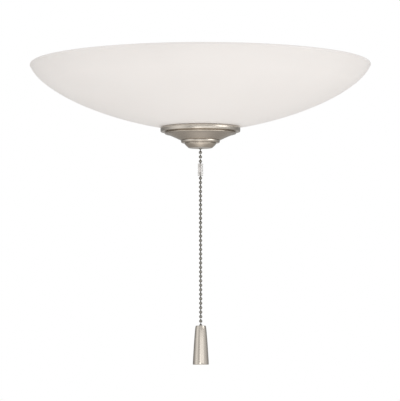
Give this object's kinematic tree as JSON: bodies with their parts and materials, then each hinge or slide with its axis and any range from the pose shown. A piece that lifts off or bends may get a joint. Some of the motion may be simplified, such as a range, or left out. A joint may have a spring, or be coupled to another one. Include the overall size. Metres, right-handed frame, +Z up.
{
  "type": "ceiling fan light kit",
  "caption": "Shallow opal glass bowl light kit for a ceiling fan, with a stepped nickel cap, lamps inside and a bead pull chain with a tapered fob.",
  "frame": {"origin": "centre of the fitter pan's top face, which meets the ceiling fan", "axes": "+Z up towards the fan along the centre rod; -Y faces the viewer; +X to the right as seen from there"},
  "size_m": [0.332, 0.332, 0.3028],
  "materials": {
    "opal_glass": "matte white opal glass",
    "brushed_nickel": "brushed nickel plate, spun marks round the axis",
    "dark_nickel": "smooth dark nickel plate",
    "clear_plastic": "clear moulded plastic",
    "white_steel": "white powder coat",
    "zinc_steel": "zinc plated",
    "brass": "plain brass",
    "frosted_glass": "frosted lamp glass",
    "phenolic": "black phenolic moulding",
    "rubber": "black moulded rubber",
    "black_lead": "black wire insulation",
    "white_lead": "white wire insulation",
    "orange_plastic": "orange moulded plastic"
  },
  "bodies": {
    "fixture": {"fitter_pan": "white_steel", "wire_grommet": "rubber", "center_bridge": "zinc_steel", "bridge_screw_1": "zinc_steel", "bridge_screw_2": "zinc_steel", "switch_bracket": "zinc_steel", "switch_bracket_rivet_1": "zinc_steel", "switch_bracket_rivet_2": "zinc_steel", "switch_case": "phenolic", "switch_cover": "phenolic", "switch_bushing": "brass", "switch_nut": "brass", "switch_spring": "zinc_steel", "center_rod": "zinc_steel", "rod_nut_upper": "brass", "rod_nut_lower": "brass", "rod_lock_washer": "zinc_steel", "glass_stop_nut": "brass", "glass_support_washer": "zinc_steel", "glass_gasket_inner": "rubber", "glass_bowl": "opal_glass", "glass_gasket_outer": "rubber", "bottom_cap": "brushed_nickel", "finial": "brushed_nickel", "socket_bracket_1": "zinc_steel", "socket_bracket_2": "zinc_steel", "socket_bracket_3": "zinc_steel", "socket_rivet_1": "zinc_steel", "socket_rivet_2": "zinc_steel", "socket_rivet_3": "zinc_steel", "socket_body_1": "phenolic", "socket_body_2": "phenolic", "socket_body_3": "phenolic", "socket_shell_1": "brass", "socket_shell_2": "brass", "socket_shell_3": "brass", "bulb_base_1": "brass", "bulb_base_2": "brass", "bulb_base_3": "brass", "bulb_glass_1": "frosted_glass", "bulb_glass_2": "frosted_glass", "bulb_glass_3": "frosted_glass", "hot_lead_1": "black_lead", "hot_lead_2": "black_lead", "hot_lead_3": "black_lead", "neutral_lead_1": "white_lead", "neutral_lead_2": "white_lead", "neutral_lead_3": "white_lead", "switch_lead": "black_lead", "wire_nut_hot": "orange_plastic", "wire_nut_neutral": "orange_plastic"},
    "pull": {"switch_plunger": "phenolic", "chain_upper": "dark_nickel"},
    "swing_bead": {"chain_bead_2": "dark_nickel"},
    "chain": {"chain_short_end": "dark_nickel", "chain_connector": "clear_plastic", "chain_main": "dark_nickel"},
    "end_bead": {"chain_bead_last": "dark_nickel"},
    "fob_hanger": {"fob_link": "dark_nickel"},
    "fob_body": {"fob": "brushed_nickel"}
  },
  "joints": [
    {"name": "chain_pull", "type": "slide", "parent": "fixture", "child": "pull", "axis": [0, 0, -1], "range_m": [0, 0.007], "stiffness_N_per_m": 400, "springref_m": -0.015, "deforming": ["switch_spring"]},
    {"name": "chain_swing_x", "type": "hinge", "parent": "pull", "child": "swing_bead", "pos_m": [0, 0, -0.0969], "axis": [1, 0, 0], "range_deg": [-35, 35]},
    {"name": "chain_swing_y", "type": "hinge", "parent": "swing_bead", "child": "chain", "pos_m": [0, 0, -0.10124], "axis": [0, 1, 0], "range_deg": [-35, 35]},
    {"name": "fob_swing_x", "type": "hinge", "parent": "chain", "child": "end_bead", "pos_m": [0, 0, -0.25644], "axis": [1, 0, 0], "range_deg": [-35, 35]},
    {"name": "fob_swing_y", "type": "hinge", "parent": "end_bead", "child": "fob_hanger", "pos_m": [0, 0, -0.26078], "axis": [0, 1, 0], "range_deg": [-35, 35]},
    {"name": "fob_spin", "type": "hinge", "parent": "fob_hanger", "child": "fob_body", "pos_m": [0, 0, -0.26512], "axis": [0, 0, 1], "continuous": true}
  ]
}
